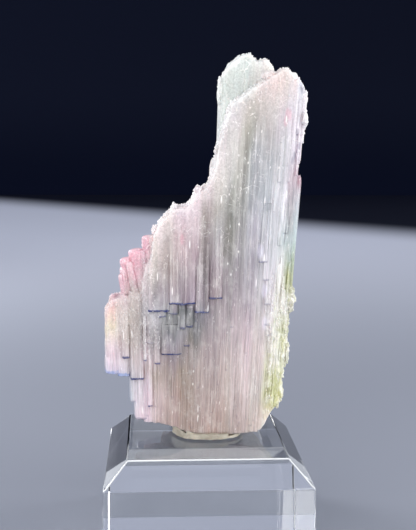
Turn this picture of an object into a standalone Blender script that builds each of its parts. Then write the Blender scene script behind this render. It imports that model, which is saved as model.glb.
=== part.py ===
"""A bicolor tourmaline cluster held by putty on a clear bevelled block.

Run with: blender --background --python part.py
Lengths are written in millimetres and turned into metres where a mesh is made.
+Z is up, -Y is the front, and the origin is the middle of the block's underside.
"""

import math
import random

import bmesh
import bpy
from mathutils import Matrix, Vector

MM = 0.001

# The clear block: a square slab whose upper edge is bevelled down to its sides.
BLOCK_SIDE = 40.0
BLOCK_HEIGHT = 20.0
BEVEL_RUN = 4.5
BEVEL_DROP = 4.6
BLOCK_EDGE_ROUND = 0.7
BLOCK_EDGE_STEPS = 2

# The putty: a pressed pad between the block's top and the foot of the crystals.
GAP = 0.3
PUTTY_MIDDLE = (0.6, 3.0)
PUTTY_REACH = (7.4, 7.6)
PUTTY_RISE = 2.1
PUTTY_SIDES = 30
PUTTY_RINGS = [(0.90, 0.0, 0.0), (1.0, 0.45, 0.15), (0.97, 1.0, 0.15), (0.80, 1.0, 0.15)]
PUTTY_SEED = 21
# The putty doesn't fill the grooves between the ribs: a plain slab of this size clears them.
PUTTY_CLEARING = (-3.6, 9.4, -3.9, 6.0, 21.1, 30.0)

# The cluster: ribbed prisms in parallel growth that fan out a little from left to right.
# A prism's x values hold at FAN_HEIGHT; above it they spread, and below it they close up.
FAN_HEIGHT = 50.0
FAN_STILL_X = -7.5
FAN_PER_MM = 0.0027
RIB_PITCH = 1.05
FEWEST_RIBS = 3
RIB_RELIEF = 0.30
RIB_RELIEF_SHARE = 0.12
SIDE_CUT = 0.16
SIDE_CUT_MOST = 0.7
CROWN = 0.9
CROWN_BACK = 2.2
SPINE_LIFT = 0.35

# Heights of the body's upper and lower edges, as (x, z) points from left to right.
LEFT_SKYLINE = [
    (-13.0, 57.5), (-11.4, 60.8), (-10.6, 63.0), (-9.0, 64.8), (-7.0, 66.9), (-2.4, 70.2),
    (-1.8, 71.0), (0.4, 71.8), (1.4, 73.4),
]
TOWER_SKYLINE = [
    (1.2, 75.5), (1.7, 79.6), (2.6, 83.5), (3.6, 87.6), (6.4, 89.8), (9.0, 91.8), (10.8, 93.4),
    (12.4, 94.8), (13.6, 94.9), (15.4, 93.6), (16.6, 92.2), (17.6, 90.4),
]
MINT_SKYLINE = [
    (1.2, 91.0), (2.2, 93.6), (3.2, 95.8), (4.8, 97.4), (6.6, 98.4), (7.4, 97.2), (9.0, 96.6),
    (10.2, 97.3), (11.2, 96.4), (12.0, 94.6),
]
BLOCK_SKYLINE = [(-20.4, 46.6), (-19.2, 48.0), (-17.4, 49.4), (-12.0, 51.0)]
UNDERLINE = [
    (-14.0, 24.6), (-12.6, 23.8), (-9.0, 23.5), (-6.2, 22.9), (-4.0, 21.9), (-1.6, 21.2),
    (4.0, 21.0), (10.0, 21.4), (12.8, 22.1), (14.4, 23.6), (16.0, 25.6), (17.6, 31.0),
]

# Each prism: left and right side, front, back, foot and head. A foot or head is a height or a line.
UPPER_BODY = [
    (1.3, 14.8, -3.3, 8.0, 44.0, TOWER_SKYLINE),
    (-13.0, 1.6, -4.2, 5.5, 45.0, LEFT_SKYLINE),
]
# Long valleys in the front of the upper body: middle, depth and half width.
VALLEYS = [(5.2, 1.3, 1.5), (0.4, 0.8, 1.1)]
LOWER_BODY = [
    (-13.2, 14.4, -3.4, 8.5, UNDERLINE, 56.0),
    (13.2, 17.2, -2.0, 5.0, UNDERLINE, TOWER_SKYLINE),
    (-20.5, -12.0, -3.1, 4.6, 33.8, BLOCK_SKYLINE),
    (1.8, 12.0, 2.2, 9.6, 52.0, MINT_SKYLINE),
    (-9.0, 13.0, 2.0, 11.6, 22.6, 64.0),
    (3.2, 12.6, 4.0, 11.8, 50.0, 86.5),
]
BROAD_FACE = [
    (2.8, 4.6, -3.9, 1.0, 21.1, 62.5),
    (6.3, 9.0, -4.0, 2.0, 21.3, 88.5),
    (9.4, 12.6, -3.9, 2.0, 21.6, 92.2),
    (-1.6, 0.4, -3.7, 1.0, 21.4, 44.0),
    (5.0, 5.9, -3.8, 1.0, 21.3, 52.0),
    (-7.4, -6.0, -3.7, 1.0, 23.0, 38.0),
    (14.3, 15.9, -2.6, 2.0, 30.0, 93.6),
    (16.0, 17.7, -0.8, 3.6, 81.5, 90.3),
    (9.2, 10.3, -4.3, 2.0, 66.0, 84.0),
    (12.9, 14.2, -3.6, 2.0, 58.0, 79.0),
]
UPPER_LEFT = [
    (0.7, 3.5, -4.8, 2.0, 49.1, 70.0),
    (1.5, 3.6, -4.6, 2.0, 60.0, 78.4),
    (2.4, 4.6, -4.3, 2.0, 54.0, 87.4),
    (-2.0, 0.7, -5.2, 2.0, 46.4, 71.6),
    (-7.6, -1.8, -5.4, 2.0, 48.1, LEFT_SKYLINE),
    (-5.4, -3.9, -5.8, 1.0, 47.9, 66.0),
    (-11.9, -8.0, -4.9, 2.0, 46.8, LEFT_SKYLINE),
    (-13.4, -11.7, -4.3, 2.0, 41.0, 59.0),
]
STEPS = [
    (-9.7, -7.8, -4.6, 0.0, 45.7, 50.0),
    (-8.8, -6.4, -4.3, 0.0, 43.8, 50.0),
    (-6.6, -5.5, -3.9, 0.0, 44.0, 50.0),
    (-5.7, -4.4, -4.9, 0.0, 43.0, 50.0),
    (-4.5, -3.2, -4.7, 0.0, 43.3, 50.0),
    (-4.3, -2.7, -4.4, 0.0, 39.7, 46.0),
    (-9.3, -4.8, -4.6, 0.0, 37.8, 44.6),
    (-4.9, -3.7, -4.0, 0.0, 37.0, 42.0),
    (-10.4, -9.1, -4.4, 0.0, 35.8, 43.0),
    (-12.4, -9.4, -3.9, 0.0, 40.0, 48.0),
    (-12.7, -11.9, -4.5, 0.0, 36.5, 46.0),
]
LOWER_LEFT = [
    (-15.4, -12.6, -4.2, 2.0, 32.7, 51.0),
    (-17.1, -15.6, -3.9, 2.0, 37.2, 50.5),
    (-18.2, -15.8, -3.5, 3.0, 33.6, 49.0),
    (-15.8, -13.6, -2.9, 3.0, 27.9, 41.0),
    (-14.9, -12.2, -3.7, 3.0, 24.4, 42.0),
    (-11.9, -10.7, -4.2, 0.0, 27.1, 38.0),
]
RIGHT_RIBS = [
    (9.9, 12.0, -4.3, 0.0, 56.6, 67.0),
    (11.2, 12.5, -4.2, 0.0, 52.9, 60.0),
    (11.6, 13.2, -4.2, 0.0, 48.1, 56.0),
    (11.2, 13.2, -4.0, 0.0, 44.0, 50.0),
    (12.2, 13.4, -3.9, 0.0, 41.6, 48.0),
    (15.4, 17.3, 0.4, 5.6, 49.0, 73.2),
    (15.6, 17.5, -0.6, 5.8, 33.0, 60.0),
]

# The leaning pink fingers: x and y of the foot, x and y of the tip, width, depth, foot and tip.
FINGERS = [
    (-10.9, -0.6, -11.7, -0.6, 2.5, 3.8, 44.0, 61.3),
    (-12.4, -0.4, -14.1, -0.6, 3.0, 4.0, 44.0, 58.9),
    (-13.9, 0.2, -16.2, 0.0, 2.5, 3.6, 43.0, 56.7),
    (-14.9, 0.2, -16.9, 0.0, 2.0, 3.0, 43.0, 53.4),
    (-12.0, 2.6, -13.4, 3.2, 3.0, 3.6, 42.0, 57.0),
    (-14.4, 2.8, -15.8, 3.6, 2.8, 3.4, 41.0, 53.5),
]
FINGER_CORNERS = 8
FINGER_RINGS = [(0.0, 1.0), (0.72, 0.98), (0.93, 0.72), (1.0, 0.3)]

# Knobs of sugary crystals: middle x, y, z and radius along x, y, z.
KNOBS = [
    (-18.5, -0.6, 48.9, 0.9, 0.9, 1.2),
    (-19.4, 0.8, 46.6, 1.2, 1.6, 1.5),
    (17.4, 0.6, 48.0, 1.3, 1.8, 2.3),
    (16.9, 0.2, 43.6, 1.0, 1.5, 2.2),
    (16.4, 0.4, 36.0, 1.1, 1.8, 3.0),
    (15.4, -0.2, 29.6, 1.4, 1.9, 3.2),
    (14.6, 0.0, 26.6, 1.2, 1.8, 2.0),
    (17.3, 0.8, 53.0, 0.9, 1.6, 2.4),
    (19.5, 1.0, 84.0, 0.9, 1.4, 1.6),
    (2.3, -1.6, 78.4, 0.9, 1.2, 1.2),
    (7.0, -1.8, 89.4, 1.5, 1.6, 1.0),
    (12.4, -1.6, 92.8, 1.7, 1.7, 1.2),
    (16.9, -0.4, 92.9, 1.5, 1.7, 1.1),
    (3.0, 4.4, 89.4, 0.9, 1.6, 1.6),
    (-10.0, -1.6, 62.8, 1.1, 1.8, 1.1),
    (-7.6, -2.2, 65.8, 1.0, 1.6, 0.8),
    (-4.8, -2.0, 68.2, 1.0, 1.6, 0.8),
    (-1.4, -1.8, 70.4, 1.1, 1.8, 0.9),
    (2.6, -2.0, 82.4, 0.8, 1.5, 1.3),
    (4.6, -1.8, 86.8, 0.9, 1.5, 1.3),
    (9.8, -1.8, 91.2, 1.1, 1.6, 0.9),
    (15.0, -1.4, 94.0, 1.1, 1.6, 0.9),
]
KNOB_ROUGHNESS = 0.16

# The back is made of prisms side by side, with heads and feet at seeded heights.
BACK_SKYLINE = [(-16, 48), (-12, 56), (-8, 62), (-2, 67), (1, 72), (4, 83), (8, 87), (12, 89), (17, 80)]
BACK_UNDERLINE = [(-16, 36), (-13, 30), (-8, 25), (0, 21.8), (9, 21.8), (13, 25), (17, 33)]
BACK_SEED = 5
BACK_FROM = -15.5
BACK_TO = 16.2
BACK_COUNT = 11
BACK_OVERLAP = 0.3
BACK_FRONT = 1.0
BACK_BULGE_X = 1.5
BACK_BULGE_Y = 12.4
BACK_BULGE_FALL = 0.022


def clear_scene():
    for thing in list(bpy.data.objects):
        bpy.data.objects.remove(thing, do_unlink=True)


def make_material(name, colour, roughness, metallic=0.0, alpha=1.0):
    material = bpy.data.materials.new(name)
    material.use_nodes = True
    shader = material.node_tree.nodes["Principled BSDF"]
    shader.inputs["Base Color"].default_value = (*colour, 1.0)
    shader.inputs["Roughness"].default_value = roughness
    shader.inputs["Metallic"].default_value = metallic
    shader.inputs["Alpha"].default_value = alpha
    return material


def add_object(name, shape, collection=None):
    """Turn a bmesh in millimetres into an object in metres."""
    bmesh.ops.triangulate(shape, faces=shape.faces)
    bmesh.ops.recalc_face_normals(shape, faces=shape.faces)
    bmesh.ops.scale(shape, vec=Vector((MM, MM, MM)), verts=shape.verts)
    mesh = bpy.data.meshes.new(name)
    shape.to_mesh(mesh)
    shape.free()
    thing = bpy.data.objects.new(name, mesh)
    (collection or bpy.context.scene.collection).objects.link(thing)
    return thing


def height_at(level, x):
    """A level is one height, or a bent line of (x, z) points."""
    if not isinstance(level, list):
        return level
    for (x0, z0), (x1, z1) in zip(level, level[1:]):
        if x <= x1:
            return z0 + (z1 - z0) * max(0.0, (x - x0) / (x1 - x0))
    return level[-1][1]


def lowest(level):
    return min(z for _, z in level) if isinstance(level, list) else level


def fanned(x, y, z):
    """A point of the fan, from its x at FAN_HEIGHT."""
    return (x + FAN_PER_MM * (x - FAN_STILL_X) * (z - FAN_HEIGHT), y, z)


def valley_depth(x):
    """How far the front is drawn in at x by the long valleys."""
    return max(deepest * max(0.0, 1.0 - abs(x - middle) / half) for middle, deepest, half in VALLEYS)


def close_ring(shape, ring, point):
    middle = shape.verts.new(point)
    count = len(ring)
    for i in range(count):
        shape.faces.new((ring[i], ring[(i + 1) % count], middle))


def bridge(shape, lower, upper):
    count = len(lower)
    for i in range(count):
        j = (i + 1) % count
        shape.faces.new((lower[i], lower[j], upper[j], upper[i]))


def close_end(shape, front, back, left, right, spine):
    """Close a prism's end with two rows of faces that meet on a spine."""
    for i in range(len(spine) - 1):
        shape.faces.new((front[i], front[i + 1], spine[i + 1], spine[i]))
        shape.faces.new((spine[i], spine[i + 1], back[i + 1], back[i]))
    shape.faces.new((left, front[0], spine[0]))
    shape.faces.new((back[0], left, spine[0]))
    shape.faces.new((front[-1], right, spine[-1]))
    shape.faces.new((right, back[-1], spine[-1]))


def prism_shape(row, dice, grow=0.0):
    """A ribbed prism with a flat foot and a low, broken head."""
    left, right, front, back, foot, head = row
    wide, middle_y = right - left, (front + back) / 2
    ribs = max(FEWEST_RIBS, round(wide / RIB_PITCH))
    cut = min(SIDE_CUT_MOST, SIDE_CUT * wide)
    relief = min(RIB_RELIEF, RIB_RELIEF_SHARE * wide)
    across, near, far = [], [], []
    for i in range(ribs + 1):
        inner = 0 < i < ribs
        shift = dice.uniform(-0.3, 0.3) * (wide / ribs) * inner
        x = left + cut + (wide - 2 * cut) * i / ribs + shift
        draw = relief * dice.random() if inner else relief + 0.5 * cut
        dent = valley_depth(x) if row in UPPER_BODY else 0.0
        across.append(x)
        near.append(front + draw + dent - grow)
        far.append(back - 2 * relief * dice.random() - 0.8 * cut * (not inner) + grow)
    side_x = (left - grow, right + grow)
    shape = bmesh.new()

    def ring(level, drop_near, drop_far, drop_spine):
        def corner(x, y, drop):
            return shape.verts.new(fanned(x, y, height_at(level, x) - drop))

        fronts = [corner(x, y, drop_near()) for x, y in zip(across, near)]
        backs = [corner(x, y, drop_far()) for x, y in zip(across, far)]
        ends = [corner(x, middle_y, drop_far()) for x in side_x]
        spine = [corner(x, middle_y, drop_spine()) for x in across]
        return fronts, backs, ends[0], ends[1], spine

    low = ring(foot, lambda: grow, lambda: grow, lambda: grow)
    high = ring(
        head,
        lambda: CROWN * dice.random(),
        lambda: CROWN_BACK * dice.uniform(0.2, 1.0),
        lambda: -SPINE_LIFT * dice.random(),
    )
    bridge(
        shape,
        [*low[0], low[3], *reversed(low[1]), low[2]],
        [*high[0], high[3], *reversed(high[1]), high[2]],
    )
    close_end(shape, *low)
    close_end(shape, *high)
    return shape


def finger_shape(row, dice):
    """A leaning prism that narrows to a blunt tip."""
    foot_x, foot_y, tip_x, tip_y, wide, deep, foot, tip = row
    shape = bmesh.new()
    rings = []
    for share, size in FINGER_RINGS:
        ring = []
        for i in range(FINGER_CORNERS):
            angle = 2 * math.pi * (i + 0.5) / FINGER_CORNERS
            reach = size * dice.uniform(0.46, 0.54)
            x = foot_x + (tip_x - foot_x) * share + wide * reach * math.cos(angle)
            y = foot_y + (tip_y - foot_y) * share + deep * reach * math.sin(angle)
            ring.append(shape.verts.new((x, y, foot + (tip - foot) * share)))
        rings.append(ring)
    for lower, upper in zip(rings, rings[1:]):
        bridge(shape, lower, upper)
    shape.faces.new(rings[0])
    shape.faces.new(rings[-1])
    return shape


def knob_shape(row, dice):
    """A lump of small crystals: a rough ball of flat facets."""
    x, y, z, radius_x, radius_y, radius_z = row
    shape = bmesh.new()
    bmesh.ops.create_icosphere(shape, subdivisions=1, radius=1.0)
    for corner in shape.verts:
        corner.co *= 1.0 + KNOB_ROUGHNESS * dice.uniform(-1.0, 1.0)
        corner.co = Vector(
            (x + corner.co.x * radius_x, y + corner.co.y * radius_y, z + corner.co.z * radius_z)
        )
    return shape


def back_rows(dice):
    """Prisms side by side behind the body, from left to right."""
    pitch = (BACK_TO - BACK_FROM) / BACK_COUNT
    sides = [BACK_FROM + pitch * (i + dice.uniform(-0.2, 0.2)) for i in range(BACK_COUNT + 1)]
    rows = []
    for left, right in zip(sides, sides[1:]):
        middle = (left + right) / 2
        bulge = BACK_BULGE_Y - BACK_BULGE_FALL * (middle - BACK_BULGE_X) ** 2
        back = bulge + dice.uniform(-0.7, 0.7)
        foot = height_at(BACK_UNDERLINE, middle) + dice.uniform(0.0, 3.0)
        head = height_at(BACK_SKYLINE, middle) - dice.uniform(0.0, 9.0)
        rows.append((left - BACK_OVERLAP, right + BACK_OVERLAP, BACK_FRONT, back, foot, head))
    return rows


def all_rows():
    surface = BROAD_FACE + UPPER_LEFT + STEPS + LOWER_LEFT + RIGHT_RIBS
    return UPPER_BODY + LOWER_BODY + surface + back_rows(random.Random(BACK_SEED))


def hide_operand(thing):
    thing.hide_render = True
    thing.display_type = "WIRE"


def unite(thing, collection):
    """Join every solid of a collection to thing."""
    union = thing.modifiers.new("grown together", "BOOLEAN")
    union.operation = "UNION"
    union.operand_type = "COLLECTION"
    union.collection = collection


def new_collection(name):
    collection = bpy.data.collections.new(name)
    bpy.context.scene.collection.children.link(collection)
    return collection


def make_cluster():
    """One solid: the prisms, fingers and knobs grown into each other."""
    grown = new_collection("crystals of the cluster")
    shapes = [prism_shape(row, random.Random(seed)) for seed, row in enumerate(all_rows())]
    shapes += [finger_shape(row, random.Random(seed)) for seed, row in enumerate(FINGERS)]
    shapes += [knob_shape(row, random.Random(seed)) for seed, row in enumerate(KNOBS)]
    cluster = add_object("tourmaline_cluster", shapes[0])
    for number, shape in enumerate(shapes[1:], start=1):
        hide_operand(add_object(f"grown_{number}", shape, grown))
    unite(cluster, grown)
    cluster.data.materials.append(make_material("pale tourmaline", (0.66, 0.58, 0.57), 0.3))


def make_putty():
    """A pressed pad whose edge rises round the crystals' feet, cut clear of them."""
    dice = random.Random(PUTTY_SEED)
    bottom = BLOCK_HEIGHT + GAP
    shape = bmesh.new()
    rings = []
    for size, rise, unevenness in PUTTY_RINGS:
        ring = []
        for i in range(PUTTY_SIDES):
            angle = 2 * math.pi * i / PUTTY_SIDES
            bulge = size * (1.0 + 0.05 * math.sin(3 * angle + 1.0) + 0.03 * math.sin(7 * angle))
            x = PUTTY_MIDDLE[0] + PUTTY_REACH[0] * bulge * math.cos(angle)
            y = PUTTY_MIDDLE[1] + PUTTY_REACH[1] * bulge * math.sin(angle)
            z = bottom + PUTTY_RISE * rise * (1.0 + dice.uniform(-unevenness, unevenness))
            ring.append(shape.verts.new((x, y, z)))
        rings.append(ring)
    for lower, upper in zip(rings, rings[1:]):
        bridge(shape, lower, upper)
    close_ring(shape, rings[0], (*PUTTY_MIDDLE, bottom))
    close_ring(shape, rings[-1], (*PUTTY_MIDDLE, bottom + PUTTY_RISE))
    putty = add_object("mounting_putty", shape)

    feet = new_collection("room for the crystals' feet")
    for seed, row in enumerate([*all_rows(), PUTTY_CLEARING]):
        if lowest(row[4]) < bottom + 2 * PUTTY_RISE:
            cutter = prism_shape(row, random.Random(seed), GAP)
            hide_operand(add_object(f"foot_{seed}", cutter, feet))
    cut = putty.modifiers.new("room for the crystals", "BOOLEAN")
    cut.operation = "DIFFERENCE"
    cut.operand_type = "COLLECTION"
    cut.collection = feet
    putty.data.materials.append(make_material("grey putty", (0.42, 0.40, 0.33), 0.75))


def make_block():
    """The clear block: a straight-sided slab with a wide bevel up to a smaller square top."""
    half = BLOCK_SIDE / 2
    shoulder = BLOCK_HEIGHT - BEVEL_DROP
    shape = bmesh.new()
    rings = []
    for reach, height in ((half, 0.0), (half, shoulder), (half - BEVEL_RUN, BLOCK_HEIGHT)):
        corners = ((-reach, -reach), (reach, -reach), (reach, reach), (-reach, reach))
        rings.append([shape.verts.new((x, y, height)) for x, y in corners])
    for lower, upper in zip(rings, rings[1:]):
        bridge(shape, lower, upper)
    shape.faces.new(rings[0])
    shape.faces.new(rings[-1])
    bmesh.ops.recalc_face_normals(shape, faces=shape.faces)
    bmesh.ops.scale(shape, vec=Vector((MM, MM, MM)), verts=shape.verts)
    mesh = bpy.data.meshes.new("acrylic_base")
    shape.to_mesh(mesh)
    shape.free()
    block = bpy.data.objects.new("acrylic_base", mesh)
    bpy.context.scene.collection.objects.link(block)
    rounding = block.modifiers.new("polished edges", "BEVEL")
    rounding.width = BLOCK_EDGE_ROUND * MM
    rounding.segments = BLOCK_EDGE_STEPS
    rounding.limit_method = "ANGLE"
    rounding.angle_limit = math.radians(20)
    block.data.materials.append(make_material("clear acrylic", (0.9, 0.92, 0.92), 0.03, alpha=0.3))


def main():
    clear_scene()
    make_block()
    make_putty()
    make_cluster()


main()
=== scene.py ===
# A bicolor tourmaline cluster set in putty on a clear block, dressed for the studio.
# Tables are in millimetres; x runs to the right, y away from the viewer and z up.
import math
import random

import bpy
from mathutils import Euler, Matrix, Vector, noise


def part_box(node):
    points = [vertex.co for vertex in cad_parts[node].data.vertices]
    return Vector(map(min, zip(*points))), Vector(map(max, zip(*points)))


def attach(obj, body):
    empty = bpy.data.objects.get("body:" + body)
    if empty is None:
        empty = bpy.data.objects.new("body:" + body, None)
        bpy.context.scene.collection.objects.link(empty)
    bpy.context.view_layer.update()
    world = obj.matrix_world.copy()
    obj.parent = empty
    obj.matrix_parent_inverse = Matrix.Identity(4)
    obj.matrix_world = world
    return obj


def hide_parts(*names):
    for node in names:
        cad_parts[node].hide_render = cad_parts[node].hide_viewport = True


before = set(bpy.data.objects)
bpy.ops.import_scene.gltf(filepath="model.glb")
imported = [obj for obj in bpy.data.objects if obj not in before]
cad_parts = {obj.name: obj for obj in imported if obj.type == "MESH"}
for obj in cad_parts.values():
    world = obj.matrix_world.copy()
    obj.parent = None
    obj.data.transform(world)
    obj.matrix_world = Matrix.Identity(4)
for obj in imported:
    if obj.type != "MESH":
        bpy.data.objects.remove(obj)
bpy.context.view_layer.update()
mm = 0.001
print("frame loaded")


def stopEditing():
    bpy.ops.object.mode_set(mode="OBJECT")


def deselectAll():
    if bpy.context.mode != "OBJECT":
        stopEditing()
    bpy.ops.object.select_all(action="DESELECT")


def makeActive(thing):
    deselectAll()
    thing.select_set(True)
    bpy.context.view_layer.objects.active = thing


def editWhere(thing, kind, test):
    # into edit mode with the edges or polygons selected whose corner points pass the test
    makeActive(thing)
    bpy.context.tool_settings.mesh_select_mode = (False, kind == "edges", kind == "polygons")
    mesh = thing.data
    for part in (*mesh.vertices, *mesh.edges, *mesh.polygons):
        part.select = False
    for part in getattr(mesh, kind):
        part.select = test(*(mesh.vertices[i].co for i in part.vertices))
    bpy.ops.object.mode_set(mode="EDIT")


def makeRod(corners, cuts):
    # an upright cylinder whose side is cut into levels, left in edit mode
    bpy.ops.mesh.primitive_cylinder_add(vertices=corners, radius=1, depth=2, end_fill_type="NGON")
    rod = bpy.context.object
    editWhere(rod, "edges", lambda a, b: abs(a.z - b.z) > 1)
    bpy.ops.mesh.subdivide(number_cuts=cuts)
    return rod


def applyModifier(thing, modifier):
    makeActive(thing)
    bpy.ops.object.modifier_apply(modifier=modifier.name)


def uniteAll(thing, parts):
    # grow the parts together with thing into one closed skin
    shelf = bpy.data.collections.new("parts of " + thing.name)
    bpy.context.scene.collection.children.link(shelf)
    for part in parts:
        shelf.objects.link(part)
    union = thing.modifiers.new("grown together", "BOOLEAN")
    union.operation = "UNION"
    union.operand_type = "COLLECTION"
    union.collection = shelf
    union.solver = "MANIFOLD"
    applyModifier(thing, union)
    for part in parts:
        bpy.data.objects.remove(part, do_unlink=True)
    bpy.data.collections.remove(shelf)


def keepWhole(thing):
    # the main skin alone, without specks and sealed hollows that lie loose from it
    makeActive(thing)
    name = thing.name
    bpy.ops.mesh.separate(type="LOOSE")
    loose = sorted(bpy.context.selected_objects, key=lambda part: len(part.data.polygons))
    whole = loose.pop()
    for part in loose:
        bpy.data.objects.remove(part, do_unlink=True)
    whole.name = name
    return whole


def levelAt(level, x):
    # a level is one height, or a bent line of (x, z) points
    if not isinstance(level, list):
        return level
    for (x0, z0), (x1, z1) in zip(level, level[1:]):
        if x <= x1:
            return z0 + (z1 - z0) * max(0.0, (x - x0) / (x1 - x0))
    return level[-1][1]


# the crystals' outlines from left to right: where the heads end, and the line of the feet
leftSkyline = [
    (-13.2, 50.6), (-12.5, 53.4), (-12, 55.6), (-10.8, 57.4), (-10.2, 62.4), (-9, 64.4),
    (-7.4, 66.1), (-6.6, 67.3), (-4.2, 67.3), (-3.2, 68.4), (-2.1, 70.4), (-0.5, 71.3),
    (0.4, 72.4), (1.4, 73.6),
]
towerSkyline = [
    (1.2, 75.5), (1.7, 79.6), (2.6, 83.5), (3.6, 87.6), (6.4, 89.8), (9, 91.8),
    (10.8, 93.2), (12.4, 94.4), (13.6, 94.4), (15.4, 92.9), (16.6, 91.4), (17.6, 89.6),
]
faceSkyline = leftSkyline[:-1] + towerSkyline
mintSkyline = [
    (1.2, 90.6), (2.4, 93.4), (3.4, 95.4), (5.2, 97.1), (7.1, 97.8), (7.8, 96.8),
    (8.8, 96.3), (9.9, 96.8), (10.8, 96), (11.8, 94.6),
]
blockSkyline = [(-20.4, 46.9), (-19.6, 47.5), (-18.6, 49.2), (-16.6, 49.6), (-12, 51)]
underline = [
    (-14, 24.6), (-12.6, 23.8), (-9, 23.5), (-6.2, 22.9), (-4, 21.9), (-1.6, 21.2),
    (4, 21), (10, 21.4), (12.8, 22.1), (13.6, 23), (14.2, 24.2), (15, 25.6),
    (16.6, 27), (17, 28.4), (17.4, 31),
]

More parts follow.
